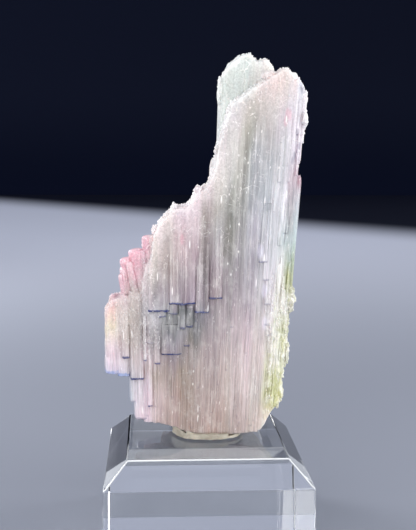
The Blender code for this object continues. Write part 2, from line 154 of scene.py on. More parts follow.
crystals = {
    # prisms: left and right at the fan's height, front, back, foot, head, and where it is so
    # how blue the foot and how sugary the head is
    "body": [
        (-13.2, 17.2, -3.8, 6.5, underline, faceSkyline, 0, 1),
        (-20.5, -12, -3.1, 4.6, 33.8, blockSkyline, 0.5, 0.3),
        (1.8, 12, 2.2, 9.6, 52, mintSkyline, 0, 0.7),
        (-9, 13, 2, 11.6, 22.6, 64),
        (3.2, 12.6, 4, 11.8, 50, 86.5, 0, 0.3),
    ],
    "broadFace": [
        (6.3, 9, -3.85, 2, 21.3, 47),
        (9.4, 12.6, -3.9, 2, 21.6, 41),
        (-4.1, -1.3, -3.95, 1, 21.6, 34),
        (-1.3, 0.4, -3.85, 1, 21.4, 44),
        (3, 5.9, -3.8, 1, 21.3, 52),
        (-7.4, -6, -3.85, 1, 23, 37),
        (7.2, 9.6, -3.85, 2, 62, 84, 0, 0.5),
        (9.8, 12.6, -3.9, 2, 68, 92, 0, 0.8),
        (13.6, 15.9, -3.1, 2, 62, 92.4, 0, 0.35),
        (15.6, 17.6, -1.6, 3.6, 81.5, 90, 0, 0.3),
        (15.6, 17.65, -1.2, 3.4, 80, 84.6, 0, 0.2),
        (15.4, 17.35, -1.4, 3.2, 76.4, 81.5, 0, 0.2),
    ],
    "upperLeft": [
        (0.2, 3.7, -4.55, 2, 49.1, 72, 0.9),
        (-2.6, 1.1, -4.55, 2, 46.3, 70.6, 1, 0.6),
        (-7.9, -1.6, -4.85, 2, 48.1, leftSkyline, 1, 1),
        (-5.4, -3.9, -4.9, 1, 47.9, leftSkyline, 1, 1),
        (-12, -6.6, -4.7, 2, 46.6, leftSkyline, 1, 1),
    ],
    "steps": [
        (-9.8, -7.7, -4.3, 0, 45.4, 50, 0.7),
        (-8, -5.2, -4.35, 0, 46, 50, 0.5),
        (-5.65, -5.2, -4.6, 0, 43.1, 46.2, 0, 1),
        (-5.3, -3.9, -4.4, 0, 43, 50, 0.7),
        (-4.1, -2.3, -4.3, 0, 43.4, 50, 0.8),
        (-4.6, -2.9, -3.95, 0, 39.4, 46, 0.7),
        (-9.4, -4.1, -4.1, 0, 37.7, 44.2, 1),
        (-4.6, -3.4, -3.8, 0, 37.8, 42, 0.4),
        (-10.5, -9, -4, 0, 35.8, 43, 0.9),
        (-12.4, -9.4, -3.7, 0, 40, 48, 0.2),
        (-12.7, -11.9, -4.1, 0, 36.5, 46, 0.8),
    ],
    "lowerLeft": [
        (-15.7, -12.2, -4, 2, 32.7, 50.6, 1, 0.2),
        (-17.2, -15.3, -3.75, 2, 37, 50, 0.9, 0.2),
        (-18.4, -15.2, -3.4, 3, 33.3, 49, 0.9),
        (-20.86, -18, -3.1, 2.6, 33.7, 37.5, 0.8),
        (-20.7, -18.2, -3, 2.8, 34.3, 41, 0.8),
        (-20.55, -18.6, -2.8, 2.4, 34.1, 44, 0.8),
        (-15.8, -13.2, -3.1, 3, 27.9, 41, 0.3),
        (-14.9, -11.6, -3.6, 3, 24.4, 42, 0.4),
        (-11.9, -10.7, -4.05, 0, 27.1, 38, 0.9),
    ],
    "rightRibs": [
        (9.9, 12.1, -4.3, 0, 56.3, 67, 0.5),
        (11.1, 12.6, -4.2, 0, 52.7, 60, 0.4),
        (11.6, 13.3, -4.15, 0, 47.8, 56, 0.3),
        (11.9, 13.6, -4, 0, 43.6, 50, 0.3),
        (12, 13.4, -3.9, 0, 41.4, 48, 0.3),
        (15, 18.1, -0.4, 4.8, 49, 73.2),
        (15.4, 17.9, -0.6, 4.8, 38, 57),
    ],
    # soft dents in the broad face, and proud places: x, z, half width, half height, depth
    "swells": [
        (4.4, 76, 1.7, 16, 0.5), (-0.8, 66, 1.1, 9, 0.4), (-5, 45.6, 4, 3, 0.35),
        (-6, 58, 6.5, 12, -0.5), (8, 62, 3, 18, -0.15), (1.6, 72, 1.4, 12, -0.15),
        (10.6, 84, 2.6, 9, -0.2), (-11, 33, 2, 8, 0.3), (5, 31, 1.4, 9, 0.15),
    ],
    "swellNoise": (0.18, 0.35, 0.045),  # depth, and fineness along x and z
    "shoulder": (12.2, 0.085),  # where the face starts to round back to the right, and how fast
    "leans": {"upperLeft": 0.045, "lowerLeft": 0.05, "rightRibs": 0.045},
    "fanHeight": 50.0,
    "fanStillX": -7.5,
    "fanPerMm": 0.0027,
    "ribPitch": 0.3,
    "ribShift": 0.32,
    # side cut, bow of the front, fine ribs and coarse ribs: the most, and share of the width
    "section": [(0.5, 0.12), (0.3, 0.1), (0.12, 0.08), (0.14, 0.1)],
    "backShape": (2, 0.3, 1.3),  # ribs, unevenness and bow, against the front's
    "thinnest": 0.2,             # from the front to the middle
    "worn": (0.9, 30.0),         # how far the ribs fade at a sugary head, and over what height
    # waves of ribs, heads, feet and sides: fineness along x, step to the next prism, and along z
    "waves": {
        "ribs": (1.1, 7.3, 0.5),
        "heads": (0.9, 3.1, 7),
        "feet": (1.3, 2.9, 4),
        "sides": (2.3, 1.7, 0.16),
    },
    "sideWave": 0.6,
    "endInset": 0.35,
    "ringShares": (1, 0.6, 0),   # how wide the rings of an end are, from its rim to its ridge
    "endTuck": 0.8,
    "levelGap": 2.4,
    "footRound": 0.12,
    "footRagged": 0.2,
    # how far a head falls in front and behind: scale, then plain, waved and chance parts
    "falls": [(0.7, 0.45, -0.6, 0.3), (2.0, 0.55, 0.4, 0.2)],
    "ridge": 0.35,
    "backSkyline": [
        (-16, 48), (-12, 56), (-8, 62), (-2, 67), (1, 72), (4, 83), (8, 87), (12, 89), (17, 80),
    ],
    "backUnderline": [(-16, 36), (-13, 30), (-8, 25), (0, 21.8), (9, 21.8), (13, 25), (17, 33)],
    "backFrom": -15.5,
    "backTo": 16.2,
    "backCount": 11,
    "backOverlap": 0.6,
    "backBulge": (1.5, 12.4, 0.022),
    # by how much their sides and depths stray, feet rise and heads fall
    "backStray": [(-0.2, 0.2), (-0.7, 0.7), (0, 3), (0, 9)],
    # how many, their widths and heights, how far they stand out and how deep they are
    "splinters": (50, (0.4, 1.1), (4, 16), (0, 0.1), 1.6),
    "needles": (70, (0.3, 0.8), (2.5, 8), (0, 0.35), 3),
    "splinterHosts": 6,                       # of the broad face, beside the body itself
    "splinterInset": (0.4, 1, 3),             # from the sides, foot and head of the host
    "splinterBlue": 0.15,
    "needlesFrom": [(12.9, 16.6), (26, 50)],  # x and foot, on the yellow-green strip at the right
    "needleSugar": 0.4,
    "smoothAngle": 24,
    "seed": 5,
}


def fanned(x, z):
    # where a line of the fan that passes x at the fan's height is at height z
    spread = crystals["fanPerMm"] * (z - crystals["fanHeight"])
    return x + spread * (x - crystals["fanStillX"])


def unfanned(x, z):
    spread = crystals["fanPerMm"] * (z - crystals["fanHeight"])
    return (x + spread * crystals["fanStillX"]) / (1 + spread)


def swellAt(x, z):
    # how far the broad face lies behind its plane
    depth, fineX, fineZ = crystals["swellNoise"]
    deep = depth * noise.noise(Vector((x * fineX, 3.3, z * fineZ)))
    for middleX, middleZ, halfX, halfZ, most in crystals["swells"]:
        deep += most * math.exp(-((x - middleX) / halfX) ** 2 - ((z - middleZ) / halfZ) ** 2)
    start, fall = crystals["shoulder"]
    return deep + fall * max(0.0, x - start) ** 2


def waveAt(kind, x, seed, z=1.0):
    fineX, apart, fineZ = crystals["waves"][kind]
    return noise.noise(Vector((x * fineX, seed * apart, z * fineZ)))


def markGrowth(prism, foot, head, blue, sugar):
    # two UV maps: how blue and how far above the own foot, how sugary and how far below the head
    mesh = prism.data
    growth = mesh.uv_layers.new(name="growth")
    crown = mesh.uv_layers.new(name="crown")
    for loop in mesh.loops:
        x, _, z = mesh.vertices[loop.vertex_index].co / mm
        still = unfanned(x, z)
        growth.data[loop.index].uv = (blue, z - levelAt(foot, still))
        crown.data[loop.index].uv = (sugar, levelAt(head, still) - z)


def addPrism(row, seed, lean=0.0, broad=False, grow=0.0):
    # a striated prism: a cylinder cut into levels, its ends drawn in to a ridge, then each
    # upright row of points is set on the prism's own ribbed section
    left, right, front, back, foot, head, blue, sugar = (*row, 0, 0)[:8]
    dice = random.Random(seed)
    wide, middleY = right - left, (front + back) / 2
    ribs = 2 * max(2, round(wide / crystals["ribPitch"] / 2))
    corners = 2 * ribs + 4  # a multiple of four, so that the cylinder has points at both sides
    tall = levelAt(head, (left + right) / 2) - levelAt(foot, (left + right) / 2)
    cuts = max(3, round(tall / crystals["levelGap"]))
    prism = makeRod(corners, cuts)
    bpy.ops.mesh.select_mode(type="FACE")
    bpy.ops.mesh.select_all(action="DESELECT")
    bpy.ops.mesh.select_face_by_sides(number=4, type="GREATER")
    for _ in range(2):
        bpy.ops.mesh.inset(thickness=crystals["endInset"])
    bpy.ops.mesh.delete(type="ONLY_FACE")
    stopEditing()

    cut, bow, relief, coarse = (min(most, share * wide) for most, share in crystals["section"])
    ribShift = crystals["ribShift"]
    worn, wornOver = crystals["worn"]
    rough, uneven, bowed = crystals["backShape"]
    fronts, backs = [], []
    for i in range(ribs + 1):
        edge = i in (0, ribs)
        shift = 0.0 if edge else dice.uniform(-ribShift, ribShift) * wide / ribs
        x = left + cut + (wide - 2 * cut) * i / ribs + shift
        inward = 0.5 * cut if edge else 0.0
        inward += bow * abs(2 * (x - left) / wide - 1) ** 3
        ribbed = relief * dice.random() + max(0.0, coarse * (0.5 + waveAt("ribs", x, seed)))
        near = front + ribbed + inward - grow
        behind = back - rough * relief * dice.random() - uneven * dice.random()
        far = behind - bowed * inward + grow
        rise = waveAt("heads", x, seed)
        dropNear, dropFar = (
            scale * max(0.0, plain + waved * rise + chance * dice.random())
            for scale, plain, waved, chance in crystals["falls"]
        )
        spine = (x, ribbed, crystals["ridge"] * dice.random())
        fronts.append((-1, x, near, dropNear, spine))
        backs.append((1, x, far, dropFar, spine))

    # the corners in turn: left side, front from left to right, right side, back from right to left
    leftSide = (0, left - grow, middleY, *backs[0][3:])
    rightSide = (0, right + grow, middleY, *backs[-1][3:])
    columns = [leftSide, *fronts, rightSide, *reversed(backs)]
    footRound = crystals["footRound"]
    endTuck = footRound * crystals["endTuck"]

    def placed(point):
        turn = math.atan2(point.y, point.x) - math.pi
        column = columns[round(turn / (2 * math.pi) * corners) % corners]
        side, x, y, drop, (spineX, ribbed, ridge) = column
        ring = round((1 - math.hypot(point.x, point.y)) / crystals["endInset"])
        share = crystals["ringShares"][ring]
        level = round((point.z + 1) / 2 * (cuts + 1))
        x = spineX + (x - spineX) * share
        low = levelAt(foot, x) - grow + crystals["footRagged"] * waveAt("feet", x, seed)
        high = levelAt(head, x) - drop * share * share + ridge * (1 - share)
        if level == 0:
            z, tuck = low, endTuck
        elif level == 1:
            z, tuck = low + footRound, 0.0
        elif level == cuts + 1:
            z, tuck = high, endTuck
        else:
            z = low + (high - low) * ((level - 1) / cuts)
            tuck = crystals["sideWave"] * relief * waveAt("sides", x, seed, z)
        if side < 0:
            y -= worn * sugar * max(0.0, 1 - (high - z) / wornOver) * (ribbed - relief)
            y += lean * (z - low) + (swellAt(x, z) if broad else 0.0)
            y = min(y, middleY - crystals["thinnest"])
        y = middleY + (y - middleY) * share
        y += tuck * (1 if y < middleY else -1) * share
        return Vector((fanned(x, z), y, z)) * mm

    for point in prism.data.vertices:
        point.co = placed(point.co)
    bpy.ops.object.mode_set(mode="EDIT")
    bpy.ops.mesh.select_all(action="SELECT")
    bpy.ops.mesh.remove_doubles(threshold=1e-7)
    stopEditing()
    markGrowth(prism, foot, head, blue, sugar)
    return prism


def backRows():
    # prisms side by side behind the body, with heads and feet at uneven heights
    dice = random.Random(crystals["seed"])
    count, start, overlap = crystals["backCount"], crystals["backFrom"], crystals["backOverlap"]
    middleX, bulge, fall = crystals["backBulge"]
    sideStray, backStray, footStray, headStray = crystals["backStray"]
    pitch = (crystals["backTo"] - start) / count
    sides = [start + pitch * (i + dice.uniform(*sideStray)) for i in range(count + 1)]
    rows = []
    for left, right in zip(sides, sides[1:]):
        middle = (left + right) / 2
        back = bulge - fall * (middle - middleX) ** 2 + dice.uniform(*backStray)
        foot = levelAt(crystals["backUnderline"], middle) + dice.uniform(*footStray)
        head = levelAt(crystals["backSkyline"], middle) - dice.uniform(*headStray)
        rows.append((left - overlap, right + overlap, 1.0, back, foot, head, 0.5, 0.5))
    return rows


def splinterRows():
    # thin needles that stand a little proud of the front, each on a prism that carries it
    dice = random.Random(crystals["seed"] + 1)
    hosts = crystals["body"][:1] + crystals["broadFace"][:crystals["splinterHosts"]]
    spans = [host[1] - host[0] for host in hosts]
    rows = []
    count, widths, heights, proud, deep = crystals["splinters"]
    sideInset, footInset, headInset = crystals["splinterInset"]
    blue = crystals["splinterBlue"]
    for host in dice.choices(hosts, spans, k=count):
        left, right, front, _, foot, head = host[:6]
        wide = dice.uniform(*widths)
        x = dice.uniform(left + sideInset, right - sideInset - wide)
        low, high = levelAt(foot, x) + footInset, levelAt(head, x) - headInset
        tall = min(dice.uniform(*heights), high - low)
        start = dice.uniform(low, high - tall)
        middle = (x + wide / 2, start + tall / 2)
        near = front + swellAt(*middle) - dice.uniform(*proud)
        rows.append((x, x + wide, near, near + deep, start, start + tall, blue, 0))
    count, widths, heights, proud, deep = crystals["needles"]
    places, feet = crystals["needlesFrom"]
    for _ in range(count):
        x, wide = dice.uniform(*places), dice.uniform(*widths)
        foot, tall = dice.uniform(*feet), dice.uniform(*heights)
        near = crystals["body"][0][2] + swellAt(x + wide, foot) - dice.uniform(*proud)
        sugar = crystals["needleSugar"] * dice.random()
        rows.append((x, x + wide, near, near + deep, foot, foot + tall, 0, sugar))
    return rows


def makeBodyPrisms():
    prisms = []
    seed = 0
    for group in ("body", "broadFace", "upperLeft", "steps", "lowerLeft", "rightRibs"):
        for row in crystals[group]:
            lean = crystals["leans"].get(group, 0.0)
            prisms.append(addPrism(row, seed, lean, broad=seed == 0))
            seed += 1
    for row in backRows() + splinterRows():
        prisms.append(addPrism(row, seed))
        seed += 1
    return prisms


cluster, *others = makeBodyPrisms()
cluster.name = "tourmalineCrystals"
print("prisms made", len(others) + 1)

fingers = {
    # x and y of the foot, x and y of the tip, width, depth, foot and tip
    "rows": [
        (-9.8, -0.9, -11.2, -1, 3.4, 4, 46, 61.5),
        (-10.9, -1.2, -12.7, -1.4, 2.5, 3.4, 46, 58.6),
        (-11.8, -0.9, -14.1, -1, 2.9, 3.6, 46, 58.8),
        (-13.3, -0.6, -15.95, -0.6, 2.8, 3.4, 45, 57),
        (-12.9, -1.9, -15.3, -2.1, 1.6, 1.6, 45, 56.3),
        (-15, -0.8, -16.2, -0.9, 2.2, 3, 45, 55.2),
        (-15.6, -1.3, -16.95, -1.5, 1.2, 1.8, 46, 53.7),
        (-11.6, 2.6, -13.4, 3, 3, 3.6, 44, 57.4),
        (-13, 2.6, -15.6, 3.2, 2.8, 3.4, 43, 54.6),
    ],
    "corners": 28,
    "cuts": 12,
    "ribs": (0.44, 0.52),
    "shoulder": 0.9,  # how far below the tip the sides start to round in
    "tipShare": 0.62,
    "sugar": 0.25,
}


def addFinger(row, seed):
    footX, footY, tipX, tipY, wide, deep, foot, tip = row
    dice = random.Random(seed)
    corners, cuts, shoulder = fingers["corners"], fingers["cuts"], fingers["shoulder"]
    finger = makeRod(corners, cuts)
    stopEditing()
    ribs = [dice.uniform(*fingers["ribs"]) for _ in range(corners)]
    slope = (footX - tipX) / (tip - foot)
    for point in finger.data.vertices:
        rib = ribs[round(math.atan2(point.co.y, point.co.x) / (2 * math.pi) * corners) % corners]
        share = 1 - ((1 - point.co.z) / 2) ** 2
        beyond = min(1.0, max(0.0, 1 - (1 - share) * (tip - foot) / shoulder))
        size = rib * (fingers["tipShare"] + (1 - fingers["tipShare"]) * math.sqrt(1 - beyond ** 2))
        outX, outY = wide * size * point.co.x, deep * size * point.co.y
        x = footX + (tipX - footX) * share + outX
        y = footY + (tipY - footY) * share + outY
        point.co = Vector((x, y, foot + (tip - foot) * share + slope * outX)) * mm
    markGrowth(finger, foot, tip, 0.0, fingers["sugar"])
    return finger


others += [addFinger(row, seed) for seed, row in enumerate(fingers["rows"])]

knobs = {
    # middle x, y, z, and radius along x, y, z
    "rows": [
        (-18.5, -0.6, 48.6, 0.8, 0.9, 1), (-19.2, 0.8, 46.4, 0.9, 1.4, 1.2),
        (16.9, 0.2, 48.7, 1.5, 1.9, 2.3), (16.7, 0.4, 37.6, 0.6, 1.6, 3),
        (15.2, -0.4, 29.6, 0.9, 1.7, 2.6), (15.4, -1.2, 44.6, 0.8, 1, 2),
        (14.6, -2, 34.4, 0.7, 0.9, 2.4), (14.2, -2.4, 49.8, 0.7, 0.8, 2),
        (19.4, 1, 84, 0.7, 1.4, 1.4), (2.2, -1.6, 78.4, 0.6, 1.2, 1),
        (19.5, -1.6, 84.5, 0.6, 1.2, 1.5),
        (12.4, -1.6, 92.8, 1.5, 1.7, 1),
        (16.9, -0.4, 92.7, 1.2, 1.7, 0.9), (3.2, 4.4, 89.8, 0.7, 1.8, 3.2),
        (-10, -1.6, 62.6, 0.8, 1.8, 0.9), (-7.6, -2.2, 65.6, 0.8, 1.6, 0.6),
        (-6.3, -2.6, 67.4, 0.5, 1.4, 0.5), (-1.4, -1.8, 70.6, 0.9, 1.8, 0.7),
        (4.4, -2.2, 86.2, 0.5, 1.2, 0.8),
        (-5.5, -4.5, 43.1, 0.25, 0.2, 0.25), (-3.4, -4.2, 43.8, 0.3, 0.2, 0.15),
        (-3.2, -4.6, 47.6, 0.5, 0.5, 0.25), (0.4, -4.5, 47.6, 0.16, 0.2, 0.8),
        (16.9, 0.3, 46.9, 1.4, 1.8, 1.5),
    ],
    "lumps": [(2.2, 0.4), (5.5, 0.24)],  # how fine, and how far they stand out
    "sugar": 0.3,
}


def addKnob(row, seed):
    # a lump of small crystals
    middle, radii = Vector(row[:3]), Vector(row[3:])
    bpy.ops.mesh.primitive_ico_sphere_add(subdivisions=3, radius=1)
    knob = bpy.context.object
    for point in knob.data.vertices:
        size = 1.0
        for (fineness, out), shift in zip(knobs["lumps"], ((seed, 0, 0), (0, seed, 0))):
            size += out * noise.noise(point.co * fineness + Vector(shift))
        point.co = (middle + point.co * size * radii) * mm
    markGrowth(knob, -20.0, row[2], 0.0, knobs["sugar"])
    return knob


others += [addKnob(row, seed) for seed, row in enumerate(knobs["rows"])]
uniteAll(cluster, others)
print("crystals grown together", len(cluster.data.polygons))

grains = {
    # along a skyline: its line, depth below it, nearest and furthest y, how many, size, sugar
    "skylines": [
        (leftSkyline, 2.2, -7, 6, 420, 0.21, 0.7),
        (towerSkyline, 2.2, -6, 6, 380, 0.2, 0.7),
        (mintSkyline, 1.2, 2, 11, 80, 0.15, 0.4),
    ],
    # in a box: lowest and highest corner, how many, size, sugar
    "boxes": [
        ((-12.4, -7, 37), (-9.2, -3, 47), 110, 0.14, 0.7),
        ((-17, -6, 39), (-12, -2.5, 54), 240, 0.16, 0.5),
        ((12, -6, 24), (18.6, 6, 52), 760, 0.19, 0.25),
        ((-21, -5, 45), (-15.5, 5, 51), 60, 0.22, 0.3),
        ((14, -5, 74), (20.6, 4, 93), 70, 0.22, 0.5),
        ((-13, -6, 54), (-10.5, -2, 61), 40, 0.22, 0.4),
    ],
    "above": 1.5,   # how far above a skyline a grain may still stand
    "push": 0.22,   # how far the points of a grain are pushed about
    "sizes": (0.5, 1.35),
    "depths": (0.7, 1.2),
    "tallness": 1.9,
    "turns": [(-0.5, 0.5), (-0.3, 0.3), (0, 6.3)],
    "margin": 1.2,  # clear of the part's box, in sizes
    "seed": 9,
}


def makeGrain():
    # one grain, modelled once: a ball of twenty facets with its points pushed about
    bpy.ops.mesh.primitive_ico_sphere_add(subdivisions=1, radius=1)
    grain = bpy.context.object
    bpy.ops.object.mode_set(mode="EDIT")
    bpy.ops.mesh.select_all(action="SELECT")
    bpy.ops.transform.vertex_random(offset=grains["push"], seed=3)
    stopEditing()
    return grain


def scatterGrains(rock):
    dice = random.Random(grains["seed"])
    rockLow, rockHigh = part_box("tourmaline_cluster")
    faces = [(face.center / mm, face.area, face) for face in rock.data.polygons]
    pattern = makeGrain()
    made = []

    def scatter(test, count, size, sugar):
        near = [(area, face) for middle, area, face in faces if test(middle)]
        for _, face in dice.choices(near, [area for area, _ in near], k=count):
            corners = [rock.data.vertices[i].co for i in face.vertices]
            shares = [dice.random() for _ in corners]
            place = sum((c * k for c, k in zip(corners, shares)), Vector()) / sum(shares)
            reach = size * dice.uniform(*grains["sizes"]) * mm
            stretch = (reach, reach * dice.uniform(*grains["depths"]), reach * grains["tallness"])
            turn = Euler([dice.uniform(*limits) for limits in grains["turns"]])
            edge = Vector(stretch) * grains["margin"]
            if any(c - e < a or c + e > b for c, e, a, b in zip(place, edge, rockLow, rockHigh)):
                continue
            grain = bpy.data.objects.new("grain", pattern.data.copy())
            grain.data.transform(Matrix.LocRotScale(place, turn, Vector(stretch)))
            markGrowth(grain, -20.0, place.z / mm, 0.0, sugar)
            made.append(grain)

    for line, deep, nearest, furthest, count, size, sugar in grains["skylines"]:
        start, end = line[0][0], line[-1][0]

        def onEdge(middle):
            x = unfanned(middle.x, middle.z)
            below = levelAt(line, x) - middle.z
            inReach = -grains["above"] < below < deep
            return start < x < end and inReach and nearest < middle.y < furthest

        scatter(onEdge, count, size, sugar)
    for low, high, count, size, sugar in grains["boxes"]:

        def inBox(middle):
            return all(a < b < c for a, b, c in zip(low, middle, high))

        scatter(inBox, count, size, sugar)
    bpy.data.objects.remove(pattern, do_unlink=True)
    return made


uniteAll(cluster, scatterGrains(cluster))
cluster = keepWhole(cluster)
makeActive(cluster)
bpy.ops.object.shade_smooth_by_angle(angle=math.radians(crystals["smoothAngle"]))
print("grains grown on", len(cluster.data.polygons))


# the block: a square of clear acrylic with a wide bevel and softly rounded edges

blockLow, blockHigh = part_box("acrylic_base")
block = {
    "bevelRun": 4.5,
    "bevelDrop": 4.6,
    "edgeRound": 0.35,
    "roundSteps": 5,
}


def makeBlock():
    size, middle = blockHigh - blockLow, (blockHigh + blockLow) / 2
    drop = block["bevelDrop"] * mm
    size.z -= drop
    middle.z = size.z / 2
    bpy.ops.mesh.primitive_cube_add(size=1)
    piece = bpy.context.object
    piece.name = "acrylicBlock"
    piece.data.transform(Matrix.LocRotScale(middle, None, size))
    editWhere(piece, "polygons", lambda *corners: min(c.z for c in corners) > mm)
    bpy.ops.mesh.inset(thickness=block["bevelRun"] * mm)
    bpy.ops.transform.translate(value=(0, 0, drop))
    stopEditing()
    bpy.ops.object.shade_smooth()
    editWhere(piece, "edges", lambda a, b: max(a.z, b.z) > mm)
    bpy.ops.transform.edge_bevelweight(value=1)
    bpy.ops.mesh.select_all(action="INVERT")
    bpy.ops.mesh.mark_sharp()
    stopEditing()
    soft = piece.modifiers.new("polished edges", "BEVEL")
    soft.harden_normals = True
    soft.width = block["edgeRound"] * mm
    soft.segments = block["roundSteps"]
    soft.limit_method = "WEIGHT"
    applyModifier(piece, soft)
    return piece


acrylic = makeBlock()
print("block made")

# the putty: a pressed pad with a lumpy lip in front of the crystals

puttyLow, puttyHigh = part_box("mounting_putty")
putty = {
    "corners": 48,
    "crown": (0.06, 0.12),   # inset and rise of the top, as shares of the size
    "grain": 0.17,           # size of the remeshed skin
    "share": 0.97,           # of the CAD pad's size, before the lumps
    "squareness": 2.6,       # power of the rounded outline; two is an ellipse
    "stick": 0.32,           # how far the lumps stand out
    "lumpSize": 1.6,
    "crease": (0.5, 0.2),    # size, and share of a lump
    "rise": 0.6,             # how much of it goes upwards, and from what height
    "lip": (0.4, 0.15),      # how far it comes up in front of the crystals' feet, and its wave
    "backRise": (1.2, 3.0),  # how far it rises behind, and over what depth
    "gap": 0.3,
    "pressedBy": (0, 3),     # prisms of the body
}


def makePutty():
    size = puttyHigh - puttyLow
    middle = (puttyHigh + puttyLow) / 2
    inset, crownRise = putty["crown"]
    corners = putty["corners"]
    bpy.ops.mesh.primitive_cylinder_add(vertices=corners, radius=0.5, depth=1, end_fill_type="NGON")
    pad = bpy.context.object
    pad.name = "puttyPad"
    editWhere(pad, "polygons", lambda *points: min(c.z for c in points) > 0)
    bpy.ops.mesh.inset(thickness=inset)
    bpy.ops.transform.translate(value=(0, 0, crownRise))
    stopEditing()
    pad.data.transform(Matrix.LocRotScale(middle, None, size * putty["share"]))
    skin = pad.modifiers.new("kneaded skin", "REMESH")
    skin.mode = "VOXEL"
    skin.voxel_size = putty["grain"] * mm
    applyModifier(pad, skin)
    power, rise = putty["squareness"], putty["rise"]
    creaseSize, creaseShare = putty["crease"]
    lip, lipWave = putty["lip"]
    backRise, riseDepth = putty["backRise"]
    for point in pad.data.vertices:
        x, y = (point.co.x - middle.x) / size.x, (point.co.y - middle.y) / size.y
        spread = math.hypot(x, y) / max(1e-6, (abs(x) ** power + abs(y) ** power) ** (1 / power))
        point.co.x = middle.x + x * size.x * spread
        point.co.y = middle.y + y * size.y * spread
        lump = noise.noise(point.co / mm / putty["lumpSize"])
        crease = noise.noise(point.co / mm / creaseSize) * creaseShare
        lift = (lump + crease) * putty["stick"] * mm
        point.co += Vector((point.co.x - middle.x, point.co.y - middle.y, 0)).normalized() * lift
        point.co.z += rise * lift if point.co.z > puttyLow.z + rise * mm else 0.0
        x, y, z = point.co / mm
        top = levelAt(underline, unfanned(x, z)) + lip + lipWave * lump
        top += backRise * min(1.0, max(0.0, y / riseDepth))
        point.co.z = min(point.co.z, top * mm)
        point.co = Vector(min(max(c, a), b) for c, a, b in zip(point.co, puttyLow, puttyHigh))
    return pad


pad = makePutty()
for seed in putty["pressedBy"]:
    tool = addPrism(crystals["body"][seed], seed, grow=putty["gap"])
    cut = pad.modifiers.new("room for the crystals", "BOOLEAN")
    cut.operation = "DIFFERENCE"
    cut.solver = "MANIFOLD"
    cut.object = tool
    applyModifier(pad, cut)
    bpy.data.objects.remove(tool, do_unlink=True)
print("putty made", len(pad.data.polygons))


class Wire:
    # a socket that sums can be written with
    def __init__(self, paint, socket):
        self.paint = paint
        self.socket = socket

    def sum(self, operation, first, second):
        return self.paint.node("ShaderNodeMath", {"operation": operation}, {0: first, 1: second})

    def __add__(self, other):
        return self.sum("ADD", self, other)

    def __sub__(self, other):
        return self.sum("SUBTRACT", self, other)

    def __rsub__(self, other):
        return self.sum("SUBTRACT", other, self)

    def __mul__(self, other):
        return self.sum("MULTIPLY", self, other)

    def __truediv__(self, other):
        return self.sum("DIVIDE", self, other)

    __radd__ = __add__
    __rmul__ = __mul__


class Paint:
    # one material's nodes
    def __init__(self, name):
        self.material = bpy.data.materials.new(name)
        self.material.use_nodes = True
        self.tree = self.material.node_tree
        self.tree.nodes.clear()
        self.end = self.tree.nodes.new("ShaderNodeOutputMaterial")

    def node(self, kind, settings, sockets, outlet=0):
        made = self.tree.nodes.new(kind)
        for name, value in settings.items():
            if name != "stops":
                setattr(made, name, value)
                continue
            ramp = made.color_ramp.elements
            while len(ramp) < len(value):
                ramp.new(1.0)
            for element, (place, colour) in zip(ramp, value):
                element.position = place
                element.color = colour
        for name, value in sockets.items():
            if isinstance(value, Wire):
                self.tree.links.new(value.socket, made.inputs[name])
            else:
                made.inputs[name].default_value = value
        return Wire(self, made.outputs[outlet])

    def place(self):
        return self.node("ShaderNodeTexCoord", {}, {}, "Object")

    def parts(self, vector):
        # the x, y and z of a vector
        split = self.node("ShaderNodeSeparateXYZ", {}, {"Vector": vector})
        return [Wire(self, outlet) for outlet in split.socket.node.outputs]

    def uv(self, name):
        return self.parts(self.node("ShaderNodeUVMap", {"uv_map": name}, {}))

    def vector(self, operation, sockets, outlet=0):
        return self.node("ShaderNodeVectorMath", {"operation": operation}, sockets, outlet)

    def mix(self, share, first, second, blend="MIX"):
        settings = {"data_type": "RGBA", "blend_type": blend}
        return self.node("ShaderNodeMix", settings, {0: share, 6: first, 7: second}, 2)

    def step(self, value, start, end, low=0.0, high=1.0):
        # runs smoothly from low to high as value goes from start to end
        settings = {"interpolation_type": "SMOOTHSTEP"}
        sockets = {"Value": value, "From Min": start, "From Max": end}
        return self.node("ShaderNodeMapRange", settings, {**sockets, "To Min": low, "To Max": high})

    def noise(self, place, x, y, z, detail=2, roughness=0.5):
        # x, y and z are the numbers of cells per millimetre
        scale = [cells / mm for cells in (x, y, z)]
        place = self.node("ShaderNodeMapping", {}, {"Vector": place, "Scale": scale})
        sockets = {"Vector": place, "Scale": 1.0, "Detail": detail, "Roughness": roughness}
        return self.node("ShaderNodeTexNoise", {}, sockets, "Fac")

    def marks(self, along, places, halfWide, halfTall):
        # soft-edged spots at the given places
        shape = (1 / (halfWide * mm), 0.0, 1 / (halfTall * mm))
        grid = self.vector("MULTIPLY", {0: along, 1: shape})
        nearest = 10.0
        for x, z in places:
            spot = (x / halfWide, 0.0, z / halfTall)
            away = self.vector("DISTANCE", {0: grid, 1: spot}, 1)
            nearest = self.node("ShaderNodeMath", {"operation": "MINIMUM"}, {0: nearest, 1: away})
        return self.step(nearest, 1.0, 0.4)

    def finish(self, sockets, **settings):
        shader = self.node("ShaderNodeBsdfPrincipled", settings, sockets)
        self.tree.links.new(shader.socket, self.end.inputs["Surface"])
        return self.material


def tint(red, green, blue):
    return (*(((c / 255) ** 2.2) for c in (red, green, blue)), 1.0)


